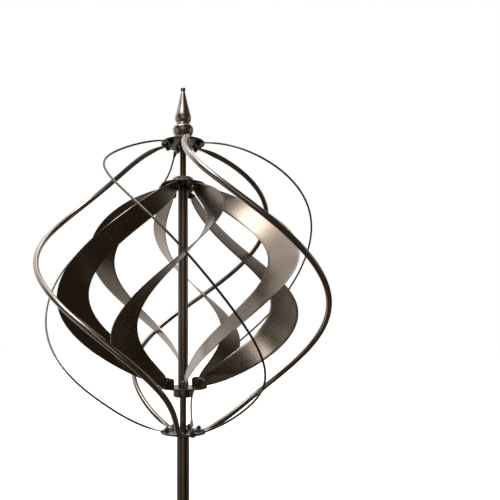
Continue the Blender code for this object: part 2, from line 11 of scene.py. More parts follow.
import bmesh
import bpy
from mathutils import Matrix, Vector


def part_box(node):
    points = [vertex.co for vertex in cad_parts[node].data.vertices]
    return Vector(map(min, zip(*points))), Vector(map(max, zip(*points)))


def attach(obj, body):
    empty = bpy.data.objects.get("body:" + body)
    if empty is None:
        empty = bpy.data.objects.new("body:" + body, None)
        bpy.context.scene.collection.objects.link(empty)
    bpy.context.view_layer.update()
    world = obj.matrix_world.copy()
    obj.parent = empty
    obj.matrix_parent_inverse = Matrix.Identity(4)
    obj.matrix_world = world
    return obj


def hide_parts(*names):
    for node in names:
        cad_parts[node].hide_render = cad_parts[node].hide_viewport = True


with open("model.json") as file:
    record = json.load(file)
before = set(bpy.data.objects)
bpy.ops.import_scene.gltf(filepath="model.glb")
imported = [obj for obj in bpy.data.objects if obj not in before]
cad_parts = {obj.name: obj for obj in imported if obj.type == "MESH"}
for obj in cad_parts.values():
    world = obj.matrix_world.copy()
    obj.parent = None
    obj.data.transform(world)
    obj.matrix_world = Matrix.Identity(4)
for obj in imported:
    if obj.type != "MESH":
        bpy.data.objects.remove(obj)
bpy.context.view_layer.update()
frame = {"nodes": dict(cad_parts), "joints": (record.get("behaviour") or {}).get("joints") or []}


# Sizes read from the frame


def outer_radius(node):
    """Return how far a CAD node reaches from the axis."""
    low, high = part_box(node)
    return max(high.x, -low.x, high.y, -low.y)


def span(node):
    """Return the lowest and highest point of a CAD node."""
    low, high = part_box(node)
    return low.z, high.z


HEAD = frame["joints"][0]["pos_m"][2]  # height of the middle of the head
DISC_LOW, DISC_HIGH = span("outer_top_hub")
DISC_RADIUS = outer_radius("outer_top_hub")
DISC_THICKNESS = DISC_HIGH - DISC_LOW
DISC_FACE = DISC_LOW - HEAD  # from the middle of the head to the inner face of a disc
HALF_SPAN = (DISC_LOW + DISC_HIGH) / 2 - HEAD  # and to the disc's mid-plane
PLATE_HIGH = span("inner_top_plate")[1]
POLE_RADIUS = outer_radius("pole_upper")
SLEEVE_RADIUS = outer_radius("inner_sleeve")
HOUSING_RADIUS = outer_radius("inner_lower_collar")
COLLAR_RADIUS = outer_radius("ground_collar")
SPIKE_TIP = span("ground_spike")[0]


# Sizes of the design that the frame doesn't state

GAP = 0.0003  # between pieces that touch
EDGE = 0.0004  # radius of a softened edge

# Spindle, bearings and collars
SPINDLE_RADIUS = 0.0050
SHOULDER_RADIUS = 0.0075  # of the spindle, where the inner cage rests on it
BEARING_SEAT = 0.0081
HOUSING_BORE = 0.0098
HOUSING_FOOT = 0.0042  # height of the lower collar's narrow foot, and of the shoulder inside it
LOCK_NUT_NECK = 0.0014
LOCK_NUT_UNDERCUT = 0.0013  # of the neck, inside the housing's radius
LOCK_NUT_CLEARANCE = 0.0007  # round the spindle
LOCK_NUT_GROOVE = 0.0012  # height of the groove round its middle
LOCK_NUT_CHAMFER = 0.0007
LOCK_NUT_COUNTERSINK = 0.0012  # of the bore, at the top

# Outer cage
DISC_BOLT_CIRCLE = DISC_RADIUS - 0.0095
TAB_INNER_RADIUS = DISC_BOLT_CIRCLE - 0.0065
TAB_OUTER_RADIUS = DISC_RADIUS - 0.0015
TAB_BLEND = 0.0270  # the stretch over which a flattened end turns round again
TAB_SETTLE = 0.1100  # the stretch over which an arm's line settles to the height of its flattened end
TAB_ROUNDING = 0.0045
TAB_TIP_SHARE = 0.12  # of the full width, at the very tip

# Inner cage
PLATE_RADIUS = 0.0350
PLATE_THICKNESS = 0.0020
PLATE_FACE = PLATE_HIGH - PLATE_THICKNESS - HEAD  # from the middle of the head to a plate's inner face
HALF_PLATE_SPAN = PLATE_FACE + PLATE_THICKNESS / 2
SLEEVE_WALL = 0.0010
BLADE_THICKNESS = 0.0012
BLADE_BULGE = 0.1985
BLADE_WIDTH = 0.0455
BLADE_OUTER_PINCH = 1.45
BLADE_INNER_PINCH = 2.50
BLADE_FIRST_TURN_DEG = 200.0
BLADE_HALF_SWEEP_DEG = 44.0
BLADE_TWIST_EASE = 0.25  # how much faster a blade twists at its middle than on average
BLADE_LEAN_DEG = (12.0, 1.0, -5.0, 5.0, -1.0, -8.0)  # each blade is bent by hand and leans a little
BLADE_FLAT_END = 0.020  # the last stretch of height, where a blade doesn't twist
BLADE_END_CLEARANCE = 0.0020  # between a blade's end and its plate
BLADE_END_DEPTH = 0.0150  # height of a blade's end
BLADE_END_SLANT = 0.0045
BLADE_EDGE_SHARE = 0.55  # of the full thickness, at an edge
LUG_INNER_RADIUS = SLEEVE_RADIUS + 0.01125
LUG_OUTER_RADIUS = PLATE_RADIUS + 0.0025
LUG_BOLT_RADIUS = LUG_OUTER_RADIUS - 0.0040
LUG_BOLT_DEPTH = 0.0092
LUG_HEIGHT = 0.0140
LUG_THICKNESS = 0.0015
LUG_CORNER = 0.0040  # radius of the corners at a lug's free end
LUG_EDGE = 0.0003  # width of a lug's softened edge
LUG_NEAR_FACE = BLADE_THICKNESS / 2 + GAP
LUG_FAR_FACE = LUG_NEAR_FACE + LUG_THICKNESS
BLADE_END_RADIUS = LUG_INNER_RADIUS + 0.0100

# Fasteners
BOLT_RADIUS = 0.0020
HEX_CORNER_RADIUS = 0.0040
HEX_CHAMFER = 0.0005
BOLT_HEAD_HEIGHT = 0.0028
BOLT_END = 0.0018  # what shows past the nut
NUT_HEIGHT = 0.0032
THREAD_PITCH = 0.0006
THREAD_ROOT_SHARE = 0.86  # of the thread's outer radius
BOLT_TIP_SHARE = 0.75
DISH_DEPTH = 0.0002  # of the hollow in a bolt's head

# Stake
POLE_WALL = 0.0012
SPIGOT_LENGTH = 0.040  # each section's lower end is drawn in to fit inside the one below
SPIGOT_WALL = 0.0010
COLLAR_FLOOR = 0.003
PRONG_REACH = 0.127
PRONG_BEND = 0.016
PRONG_CHAMFER = 0.0012  # height of the bevel at a prong's cut end
PRONG_CUT_SHARE = 0.78  # of the rod's thickness, at the cut end
PRONG_TURNS_DEG = (98.0, 185.0, 305.0)
SPIKE_RADIUS = 0.0070
SPIKE_OUTLINE = (  # (radius, height above the tip), up to the shank
    (0.0, 0.0), (0.0010, 0.0015), (0.0040, 0.0250), (0.0068, 0.0480), (0.0086, 0.0650), (0.0084, 0.0850),
    (SPIKE_RADIUS, 0.1050),
)
FINIAL_SOCKET_DEPTH = 0.022
FINIAL_OUTLINE = (  # (radius, height above the foot) of the points that its curve passes through
    (0.0128, 0.0000), (0.0124, 0.0040), (0.0128, 0.0075), (0.0146, 0.0110), (0.0161, 0.0150),
    (0.0166, 0.0188), (0.0158, 0.0226), (0.0132, 0.0256), (0.0110, 0.0276), (0.0105, 0.0290),
    (0.0109, 0.0304), (0.0122, 0.0330), (0.0130, 0.0362), (0.0129, 0.0398), (0.0116, 0.0456),
    (0.0090, 0.0556), (0.0062, 0.0676), (0.0039, 0.0780), (0.0032, 0.0808), (0.0034, 0.0822),
    (0.0040, 0.0836), (0.0042, 0.0852), (0.0038, 0.0868), (0.0025, 0.0880),
)

# How the outer cage's arms are bent
ARM_KINDS = (
    {
        "name": "tube_arm",
        "radius": 0.0041,
        "tab_half_width": 0.0056,
        "tab_half_thickness": 0.0012,
        "bulge": BLADE_BULGE + 0.0259,
        "pinch": 1.38,  # above 1, an arm stays close to the axis near its ends
        "reach": 0.947,  # the share of the height between the discs that the bend spans
        "evenness": -0.303,  # the part of the height that changes evenly along the arm
        "rise": 0.0117,  # of the widest point
        "first_turn_deg": 174.4,
        "sweep_deg": 71.8,
        "waves": (-0.139, -0.466, 0.0),  # shares of the sweep that come and go once, twice and four times
        "hand_bends": ((4.3, 1.3, -0.0007), (0.3, 0.5, 0.0031), (-6.0, -2.0, -0.0022)),
    },
    {
        "name": "wire_arm",
        "radius": 0.0015,
        "tab_half_width": 0.0038,
        "tab_half_thickness": 0.0007,
        "bulge": BLADE_BULGE + 0.0389,
        "pinch": 1.253,
        "reach": 0.982,
        "evenness": -0.109,
        "rise": 0.0116,
        "first_turn_deg": 234.9,
        "sweep_deg": 55.4,
        "waves": (0.220, -0.539, -0.1315),
        "hand_bends": ((-2.0, 0.4, -0.0028), (-0.5, 3.0, 0.0019), (3.0, -4.3, 0.0005)),
    },
)  # hand_bends are each arm's own lean and extra sweep, in degrees, and extra bulge

# Fineness
LATHE_STEPS = 72
BOLT_STEPS = 36
CORNER_STEPS = 3  # along a softened edge
LUG_CORNER_STEPS = 6
CURVE_STEPS = 4  # between two points of the finial's outline
ARM_STATIONS = 220
ARM_CROWDING = 0.6  # how much closer the stations are near an arm's ends
ARM_SIDES = 20
TAB_STATIONS = 14
BLADE_STATIONS = 120
BLADE_CROWDING = 0.35
BLADE_STRIPS = 10
PRONG_STRAIGHT_STATIONS = 6
PRONG_BEND_STATIONS = 14
PRONG_SIDES = 28
SHARP_ANGLE = math.radians(40.0)

UP = Vector((0.0, 0.0, 1.0))
WHITE = (1.0, 1.0, 1.0, 1.0)
EVENLY = (1.0, 1.0, 1.0)  # a pattern that isn't stretched


# Materials


def feed(tree, socket, value):
    """Link a socket to an input, or set the input to a value."""
    if isinstance(value, bpy.types.NodeSocket):
        tree.links.new(value, socket)
    else:
        socket.default_value = value


def node_after(tree, kind, **inputs):
    """Add a shader node; each keyword names an input, with a socket to link or a value to set."""
    made = tree.nodes.new(kind)
    for name, value in inputs.items():
        feed(tree, made.inputs[name.replace("_", " ")], value)
    return made


def worked(tree, kind, operation, *inputs):
    """Return the output of a maths node that does an operation on its inputs, given in order."""
    made = tree.nodes.new(kind)
    made.operation = operation
    for socket, value in zip(made.inputs, inputs):
        feed(tree, socket, value)
    return next(socket for socket in made.outputs if socket.enabled)


def noise(tree, coordinates, stretch, scale, detail=4.0, roughness=0.6):
    """Return the output of a noise whose pattern is stretched along the object's axes."""
    mapping = node_after(tree, "ShaderNodeMapping", Vector=coordinates, Scale=stretch)
    made = node_after(tree, "ShaderNodeTexNoise", Vector=mapping.outputs["Vector"], Scale=scale,
                      Detail=detail, Roughness=roughness)
    return made.outputs["Fac"]


def ramp(tree, fac, source, target, interpolation="LINEAR"):
    """Return a value that goes from end to end of a target range as a socket does so in a source range."""
    made = node_after(tree, "ShaderNodeMapRange", Value=fac, From_Min=source[0], From_Max=source[1],
                      To_Min=target[0], To_Max=target[1])
    made.interpolation_type = interpolation
    return made.outputs["Result"]


def mixed(tree, fac, first, second):
    """Return a colour between two colours."""
    made = tree.nodes.new("ShaderNodeMix")
    made.data_type = "RGBA"
    sockets = {socket.identifier: socket for socket in (*made.inputs, *made.outputs)}
    feed(tree, sockets["Factor_Float"], fac)
    feed(tree, sockets["A_Color"], first)
    feed(tree, sockets["B_Color"], second)
    return sockets["Result_Color"]


def metal(name, light, dark, gloss, streaks=(1.0, 1.0, 0.03), streak_scale=450.0, streak_depth=0.1,
          worn=(0.36, 0.32, 0.28), flecks_share=0.2, pits=0.02, edge_wear=0.0):
    """Make a plated metal: tarnish in soft clouds, fine brushing, tiny flecks and edges rubbed bright.

    gloss is the lowest and highest roughness. streaks stretches the brushing along the object's axes, and
    streak_scale and the other scales are in repeats to the metre.
    """
    made = bpy.data.materials.new(name)
    made.use_nodes = True
    tree = made.node_tree
    shader = tree.nodes["Principled BSDF"]
    place = tree.nodes.new("ShaderNodeTexCoord").outputs["Object"]
    clouds = noise(tree, place, (1.0, 1.0, 0.6), scale=14.0, detail=5.0)
    brushing = noise(tree, place, streaks, streak_scale, detail=3.0, roughness=0.7)
    flecks = noise(tree, place, EVENLY, scale=900.0, detail=1.0)
    pitting = noise(tree, place, EVENLY, scale=110.0, detail=2.0)
    colour = mixed(tree, ramp(tree, clouds, (0.35, 0.68), (0.0, 1.0)), (*dark, 1.0), (*light, 1.0))
    colour = mixed(tree, ramp(tree, brushing, (0.40, 0.75), (0.0, 0.35)), colour, (*light, 1.0))
    colour = mixed(tree, ramp(tree, flecks, (0.58, 0.80), (0.0, flecks_share)), colour, (*worn, 1.0))
    if edge_wear > 0.0:
        at_edge = tree.nodes.new("ShaderNodeAttribute")
        at_edge.attribute_name = "edge_wear"
        patches = ramp(tree, clouds, (0.40, 0.62), (0.25 * edge_wear, edge_wear))
        rubbed = worked(tree, "ShaderNodeMath", "MULTIPLY", at_edge.outputs["Fac"], patches)
        colour = mixed(tree, rubbed, colour, (*worn, 1.0))
    bump = node_after(tree, "ShaderNodeBump", Height=brushing, Strength=streak_depth, Distance=0.0001)
    fine = node_after(tree, "ShaderNodeBump", Height=pitting, Strength=pits, Distance=0.0010,
                      Normal=bump.outputs["Normal"])
    feed(tree, shader.inputs["Base Color"], colour)
    feed(tree, shader.inputs["Roughness"], ramp(tree, brushing, (0.30, 0.75), gloss))
    feed(tree, shader.inputs["Normal"], fine.outputs["Normal"])
    shader.inputs["Metallic"].default_value = 1.0
    return made


BLADE_METAL = metal("brushed_bronze", (0.295, 0.248, 0.208), (0.245, 0.200, 0.160), (0.22, 0.33),
                    streak_depth=0.015, flecks_share=0.04, pits=0.012, edge_wear=0.9)
TUBE_METAL = metal("polished_bronze", (0.50, 0.455, 0.42), (0.38, 0.34, 0.31), (0.15, 0.24),
                   EVENLY, streak_scale=160.0, streak_depth=0.02, pits=0.01)
HUB_METAL = metal("hub_bronze", (0.26, 0.222, 0.185), (0.15, 0.124, 0.10), (0.24, 0.40),
                  EVENLY, streak_scale=300.0, streak_depth=0.08)
FINIAL_METAL = metal("cast_bronze", (0.60, 0.545, 0.49), (0.44, 0.39, 0.34), (0.17, 0.27),
                     EVENLY, streak_scale=200.0, streak_depth=0.03, flecks_share=0.1, pits=0.01)
SLEEVE_METAL = metal("sleeve_bronze", (0.34, 0.295, 0.25), (0.22, 0.185, 0.15), (0.22, 0.38),
                     streak_scale=300.0, streak_depth=0.06, pits=0.01)
POLE_METAL = metal("pole_bronze", (0.235, 0.192, 0.153), (0.155, 0.122, 0.093), (0.24, 0.38),
                   streak_depth=0.06, pits=0.01)
WIRE_METAL = metal("wire_bronze", (0.21, 0.185, 0.16), (0.15, 0.128, 0.108), (0.30, 0.40),
                   EVENLY, streak_scale=120.0, streak_depth=0.01, flecks_share=0.05, pits=0.005)
FORK_METAL = metal("fork_bronze", (0.15, 0.12, 0.098), (0.095, 0.074, 0.058), (0.30, 0.48),
                   (1.0, 1.0, 0.2), streak_scale=400.0, streak_depth=0.12)
BOLT_METAL = metal("bolt_steel", (0.34, 0.31, 0.285), (0.17, 0.15, 0.135), (0.18, 0.36),
                   EVENLY, streak_scale=400.0, streak_depth=0.06)
BEARING_METAL = metal("bearing_steel", (0.26, 0.235, 0.20), (0.14, 0.122, 0.10), (0.26, 0.42),
                      EVENLY, streak_scale=300.0, streak_depth=0.05)
ARM_METALS = {"tube_arm": TUBE_METAL, "wire_arm": WIRE_METAL}


# Shapes


def polar(radius, turn, height):
    """Return the point at a radius, an angle in radians and a height above the middle of the head."""
    return Vector((radius * math.cos(turn), radius * math.sin(turn), HEAD + height))


def outward(turn):
    """Return the level direction that points away from the axis at an angle in radians."""
    return Vector((math.cos(turn), math.sin(turn), 0.0))


def blend(start, end, share):
    """Return the value that lies at a share of the way from start to end."""
    return start + (end - start) * share


def clamp(value, limit):
    """Return the value kept between minus and plus a limit."""
    return max(-limit, min(limit, value))


def smooth(share):
    """Return a share eased at both ends, kept from 0 to 1."""
    share = min(1.0, max(0.0, share))
    return share * share * (3 - 2 * share)


def crowded(share, crowding):
    """Return a share moved towards the nearer end of its range, by a crowding from 0 to 1."""
    return blend(share, (1 - math.cos(math.pi * share)) / 2, crowding)


def in_scene(name, data):
    """Make an object from its data and put it in the scene."""
    made = bpy.data.objects.new(name, data)
    bpy.context.scene.collection.objects.link(made)
    return made


def mesh_from(name, bm):
    """Make a mesh from a bmesh, and free the bmesh."""
    mesh = bpy.data.meshes.new(name)
    bm.to_mesh(mesh)
    bm.free()
    return mesh


def shade(mesh):
    """Shade a mesh smooth, except over its sharp edges."""
    mesh.shade_smooth()
    mesh.set_sharp_from_angle(angle=SHARP_ANGLE)


def add_piece(bm, material, node, body):
    """Turn a bmesh into a piece that stands for a CAD node and rides on its body."""
    bmesh.ops.recalc_face_normals(bm, faces=bm.faces[:])
    name = node + "_fine"
    mesh = mesh_from(name, bm)
    shade(mesh)
    mesh.materials.append(material)
    made = in_scene(name, mesh)
    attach(made, body)
    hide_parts(node)
    return made


def skin(bm, rings, closed=False):
    """Join a row of rings of vertices; a closed row joins its last ring to its first, others get caps."""
    sides = len(rings[0])
    following_rings = rings[1:] + ([rings[0]] if closed else [])
    for current, following in zip(rings, following_rings):
        for corner in range(sides):
            after = (corner + 1) % sides
            bm.faces.new((current[corner], current[after], following[after], following[corner]))
    if not closed:
        bm.faces.new(rings[0])
        bm.faces.new(rings[-1])


def loft(bm, sections, closed=False):
    """Skin a row of sections, each a list of points."""
    skin(bm, [[bm.verts.new(point) for point in section] for section in sections], closed)


def softened(outline, radius, closed):
    """Round the corners of an outline of (radius, height) points with a small arc."""
    count = len(outline)
    made = []
    for index, corner in enumerate(outline):
        if not closed and index in (0, count - 1):
            made.append(corner)
            continue
        here = Vector((*corner, 0.0))
        before = Vector((*outline[index - 1], 0.0)) - here
        after = Vector((*outline[(index + 1) % count], 0.0)) - here
        reach = min(radius, before.length * 0.4, after.length * 0.4)
        start, end = here + before.normalized() * reach, here + after.normalized() * reach
        for step in range(CORNER_STEPS + 1):
            share = step / CORNER_STEPS
            point = start * (1 - share) ** 2 + here * (2 * share * (1 - share)) + end * share ** 2
            made.append((point.x, point.y))
    return made


def lathe(bm, outline, closed):
    """Turn an outline of (radius, height) points round the pole's axis; an open one ends on the axis."""
    sections = []
    for step in range(LATHE_STEPS):
        away = outward(2 * math.pi * step / LATHE_STEPS)
        sections.append([away * radius + UP * height for radius, height in outline])
    if closed:
        loft(bm, sections, closed=True)
        return
    rings = [[bm.verts.new(point) for point in section[1:-1]] for section in sections]
    low, high = bm.verts.new(sections[0][0]), bm.verts.new(sections[0][-1])
    for current, following in zip(rings, rings[1:] + [rings[0]]):
        for index in range(len(current) - 1):
            bm.faces.new((current[index], following[index], following[index + 1], current[index + 1]))
        bm.faces.new((low, following[0], current[0]))
        bm.faces.new((high, current[-1], following[-1]))


def ring_outline(inner, outer, low, high):
    """Return the outline of a plain ring."""
    return [(inner, low), (outer, low), (outer, high), (inner, high)]


def turned_piece(node, outline, material, body, closed=True, edge=EDGE):
    """Make one turned piece with softened edges, on the pole's axis, in place of a CAD node."""
    bm = bmesh.new()
    lathe(bm, softened(outline, edge, closed), closed)
    return add_piece(bm, material, node, body)


def direction(path, index):
    """Return the direction in which a path runs at one of its points."""
    return (path[min(index + 1, len(path) - 1)] - path[max(index - 1, 0)]).normalized()


def ellipse(point, wide, thick, sides):
    """Return a section round a point, from its half width and half thickness as vectors."""
    angles = [2 * math.pi * corner / sides for corner in range(sides)]
    return [point + wide * math.cos(angle) + thick * math.sin(angle) for angle in angles]


def hex_radius(angle, corner_radius):
    """Return how far a hexagon reaches at an angle, from its radius at the corners."""
    flat = corner_radius * math.cos(math.pi / 6)
    return flat / math.cos(angle % (math.pi / 3) - math.pi / 6)


def hex_sections(levels, corner_radius, steps, seat, axis, side):
    """Return a section round an axis for each (height, radius); without a radius it is a hexagon."""
    across = axis.cross(side)
    sections = []
    for height, radius in levels:
        section = []
        for step in range(steps):
            angle = 2 * math.pi * step / steps
            reach = hex_radius(angle, corner_radius) if radius is None else radius
            away = side * math.cos(angle) + across * math.sin(angle)
            section.append(seat + away * reach + axis * height)
        sections.append(section)
    return sections


# Fasteners


def make_bolt(node, body, seat, axis, side, grip):
    """Make one bolt with its nut: chamfered hexagons, a washer face under each and a threaded end."""
    nut_face = -grip - GAP
    nut_back = nut_face - NUT_HEIGHT
    end = nut_back - BOLT_END
    head_top = BOLT_HEAD_HEIGHT + GAP
    flat = HEX_CORNER_RADIUS * math.cos(math.pi / 6)
    height = end + THREAD_PITCH / 2
    root = BOLT_RADIUS * THREAD_ROOT_SHARE
    levels = [(end, BOLT_RADIUS * BOLT_TIP_SHARE), (height, BOLT_RADIUS)]
    while height < nut_back - THREAD_PITCH:
        levels += [(height + THREAD_PITCH / 2, root), (height + THREAD_PITCH, BOLT_RADIUS)]
        height += THREAD_PITCH
    # The nut, the shank and the head; each hexagon starts and ends in a circle a little inside its flats
    levels += [
        (nut_back, BOLT_RADIUS), (nut_back, flat * 0.92), (nut_back + HEX_CHAMFER, None),
        (nut_face - HEX_CHAMFER, None), (nut_face, flat * 0.96), (nut_face, BOLT_RADIUS),
        (GAP, BOLT_RADIUS), (GAP, flat * 0.97), (GAP + HEX_CHAMFER * 0.6, None),
        (head_top - HEX_CHAMFER, None), (head_top, flat * 0.90), (head_top - DISH_DEPTH, flat * 0.55),
    ]
    bm = bmesh.new()
    loft(bm, hex_sections(levels, HEX_CORNER_RADIUS, BOLT_STEPS, seat, axis, side))
    add_piece(bm, BOLT_METAL, node, body)


# The outer cage


def arm_point(kind, bend, share):
    """Return the (radius, height, turn) of a bent arm's centre line at a share of its length."""
    lean, extra_sweep, extra_bulge = bend
    angle = math.pi * share
    level = blend(math.cos(angle), 1 - 2 * share, kind["evenness"])
    height = HALF_SPAN * kind["reach"] * level + kind["rise"] * math.sin(angle)
    once, twice, four_times = kind["waves"]
    waves = once * math.sin(angle) + twice * math.sin(2 * angle) + four_times * math.sin(4 * angle)
    progress = share + waves
    turn = kind["first_turn_deg"] + lean + kind["sweep_deg"] * progress + extra_sweep * (progress - 0.5)
    return (kind["bulge"] + extra_bulge) * math.sin(angle) ** kind["pinch"], height, math.radians(turn)


def freed(radius, stretch):
    """Return how far an arm is past a stretch that starts where it leaves the disc, from 0 to 1."""
    return smooth((radius - TAB_OUTER_RADIUS) / stretch)


def arm_line(kind, number):
    """Return an arm's centre line as (radius, height, turn), with its ends laid flat on the discs."""
    tab_height = DISC_FACE - GAP - kind["tab_half_thickness"]
    bent = []
    for index in range(1, ARM_STATIONS):
        share = crowded(index / ARM_STATIONS, ARM_CROWDING)
        radius, height, turn = arm_point(kind, kind["hand_bends"][number], share)
        if radius > TAB_OUTER_RADIUS:
            bent.append((radius, height, turn + math.radians(120.0 * number)))
    above, below = tab_height - bent[0][1], -tab_height - bent[-1][1]
    body = []
    for radius, height, turn in bent:
        shift = (above if height > 0 else below) * (1 - freed(radius, TAB_SETTLE))
        body.append((radius, clamp(height + shift, tab_height), turn))
    tab_radii = []
    for step in range(TAB_STATIONS):
        share = 1 - math.cos(math.pi / 2 * step / TAB_STATIONS)
        tab_radii.append(blend(TAB_INNER_RADIUS, TAB_OUTER_RADIUS, share))
    top = [(radius, tab_height, body[0][2]) for radius in tab_radii]
    bottom = [(radius, -tab_height, body[-1][2]) for radius in reversed(tab_radii)]
    return top + body + bottom


def tab_share(radius):
    """Return the share of its full width that the round end of a tab has, at a distance from the axis."""
    share = min(1.0, (radius - TAB_INNER_RADIUS) / TAB_ROUNDING)
    return max(TAB_TIP_SHARE, math.sqrt(max(0.0, 1 - (1 - share) ** 2)))


def make_arm(kind, number, line):
    """Make one arm: round along its bend, and pressed flat where it is bolted to the discs."""
    path = [polar(radius, turn, height) for radius, height, turn in line]
    sections = []
    for index, point in enumerate(path):
        along = direction(path, index)
        level = along.cross(UP).normalized()
        share = freed(line[index][0], TAB_BLEND)
        wide = blend(kind["tab_half_width"], kind["radius"], share) * tab_share(line[index][0])
        thick = blend(kind["tab_half_thickness"], kind["radius"], share)
        sections.append(ellipse(point, level * wide, level.cross(along) * thick, ARM_SIDES))
    bm = bmesh.new()
    loft(bm, sections)
    add_piece(bm, ARM_METALS[kind["name"]], f"{kind['name']}_{number + 1}", "outer_rotor")


def make_outer_cage():
    """Make the discs, arms and fasteners of the outer cage."""
    lines = [(kind, number, arm_line(kind, number)) for kind in ARM_KINDS for number in range(3)]
    for kind, number, line in lines:
        make_arm(kind, number, line)
    for end, word in ((1, "top"), (-1, "bottom")):
        low, high = span(f"outer_{word}_hub")
        turned_piece(f"outer_{word}_hub", ring_outline(BEARING_SEAT, DISC_RADIUS, low, high),
                     HUB_METAL, "outer_rotor")
        for index, (kind, _, line) in enumerate(lines, start=1):
            turn = line[0 if end > 0 else -1][2]
            seat = polar(DISC_BOLT_CIRCLE, turn, end * (DISC_FACE + DISC_THICKNESS))
            make_bolt(f"outer_{word}_bolt_{index}", "outer_rotor", seat, UP * end, outward(turn),
                      DISC_THICKNESS + GAP + 2 * kind["tab_half_thickness"])


# The inner cage


def blade_turn(height):
    """Return a blade's turn at a height above the middle of the head."""
    level = clamp(height / HALF_PLATE_SPAN, 1 - BLADE_FLAT_END / HALF_PLATE_SPAN)
    eased = (1 + BLADE_TWIST_EASE) * level - BLADE_TWIST_EASE * level ** 3
    return math.radians(BLADE_HALF_SWEEP_DEG) * eased


def blade_point(turn, share, across):
    """Return the point of a blade's middle sheet at a share of its length and of its width."""
    angle = math.pi * share
    swell = max(0.0, math.sin(angle))
    outer = blend(BLADE_END_RADIUS, BLADE_BULGE, swell ** BLADE_OUTER_PINCH)
    inner = blend(BLADE_END_RADIUS + BLADE_END_SLANT, BLADE_BULGE - BLADE_WIDTH, swell ** BLADE_INNER_PINCH)
    reach = PLATE_FACE - BLADE_END_CLEARANCE
    height = blend(reach, reach - BLADE_END_DEPTH, across) * math.cos(angle)
    return polar(blend(outer, inner, across), turn + blade_turn(height), height)


def blade_normal(turn, share, across):
    """Return the direction square to a blade's sheet, from the points a little way off."""
    along_step, wide_step = 0.002, 0.05
    before, after = max(0.0, share - along_step), min(1.0, share + along_step)
    near, far = max(0.0, across - wide_step), min(1.0, across + wide_step)
    along = blade_point(turn, after, across) - blade_point(turn, before, across)
    wide = blade_point(turn, share, far) - blade_point(turn, share, near)
    return along.cross(wide).normalized()


def make_blade(number, turn):
    """Make one crescent blade with rounded edges that are rubbed bright."""
    bm = bmesh.new()
    wear = bm.verts.layers.float.new("edge_wear")
    rings = []
    for index in range(BLADE_STATIONS + 1):
        share = crowded(index / BLADE_STATIONS, BLADE_CROWDING)
        front, back = [], []
        for strip in range(BLADE_STRIPS + 1):
            across = smooth(strip / BLADE_STRIPS)
            point, normal = blade_point(turn, share, across), blade_normal(turn, share, across)
            at_edge = strip in (0, BLADE_STRIPS)
            offset = normal * (BLADE_THICKNESS / 2 * (BLADE_EDGE_SHARE if at_edge else 1.0))
            front.append((point + offset, float(at_edge)))
            back.append((point - offset, float(at_edge)))
        ring = []
        for point, worn in front + back[::-1]:
            vertex = bm.verts.new(point)
            vertex[wear] = worn
            ring.append(vertex)
        rings.append(ring)
    skin(bm, rings)
    add_piece(bm, BLADE_METAL, f"blade_{number}", "inner_rotor")


def lug_profile():
    """Return a lug's outline as (radius, depth) points: square at the plate, with two round corners."""
    angles = [math.pi / 2 * step / LUG_CORNER_STEPS for step in range(LUG_CORNER_STEPS + 1)]
    centre_depth = LUG_HEIGHT - LUG_CORNER
    inner, outer = LUG_INNER_RADIUS + LUG_CORNER, LUG_OUTER_RADIUS - LUG_CORNER
    profile = [(LUG_INNER_RADIUS, -PLATE_THICKNESS / 2)]
    for angle in angles:
        profile.append((inner - LUG_CORNER * math.cos(angle), centre_depth + LUG_CORNER * math.sin(angle)))
    for angle in angles:
        profile.append((outer + LUG_CORNER * math.sin(angle), centre_depth + LUG_CORNER * math.cos(angle)))
    profile.append((LUG_OUTER_RADIUS, -PLATE_THICKNESS / 2))
    return profile


def add_lug(bm, end, turn):
    """Add one folded lug with softened edges, behind the place of a blade's end."""
    radial, tangent = outward(turn), outward(turn + math.pi / 2)
    middle = (LUG_INNER_RADIUS + LUG_OUTER_RADIUS) / 2
    sections = []
    for offset, inset in ((LUG_NEAR_FACE, LUG_EDGE), (LUG_NEAR_FACE + LUG_EDGE, 0.0),
                          (LUG_FAR_FACE - LUG_EDGE, 0.0), (LUG_FAR_FACE, LUG_EDGE)):
        section = []
        for radius, depth in lug_profile():
            radius += inset if radius < middle else -inset
            depth -= inset if depth > 0 else 0.0
            section.append(radial * radius + tangent * offset + UP * (HEAD + end * (PLATE_FACE - depth)))
        sections.append(section)
    loft(bm, sections)


def fuse(piece, bm):
    """Fuse a bmesh into a piece."""
    bmesh.ops.recalc_face_normals(bm, faces=bm.faces[:])
    tool = in_scene("lugs", mesh_from("lugs", bm))
    joined = piece.modifiers.new("lugs", "BOOLEAN")
    joined.operation = "UNION"
    joined.solver = "EXACT"
    joined.object = tool
    bpy.context.view_layer.update()
    depsgraph = bpy.context.evaluated_depsgraph_get()
    fused = bpy.data.meshes.new_from_object(piece.evaluated_get(depsgraph))
    piece.modifiers.clear()
    piece.data = fused
    shade(fused)
    bpy.data.objects.remove(tool, do_unlink=True)


def make_plate(word, end, turns):
    """Make one plate with softened edges and its six folded lugs."""
    middle = HEAD + end * HALF_PLATE_SPAN
    outline = ring_outline(SLEEVE_RADIUS + GAP, PLATE_RADIUS, middle - PLATE_THICKNESS / 2,
                           middle + PLATE_THICKNESS / 2)
    plate = turned_piece(f"inner_{word}_plate", outline, HUB_METAL, "inner_rotor")
    lugs = bmesh.new()
    for turn in turns:
        add_lug(lugs, end, turn)
    fuse(plate, lugs)


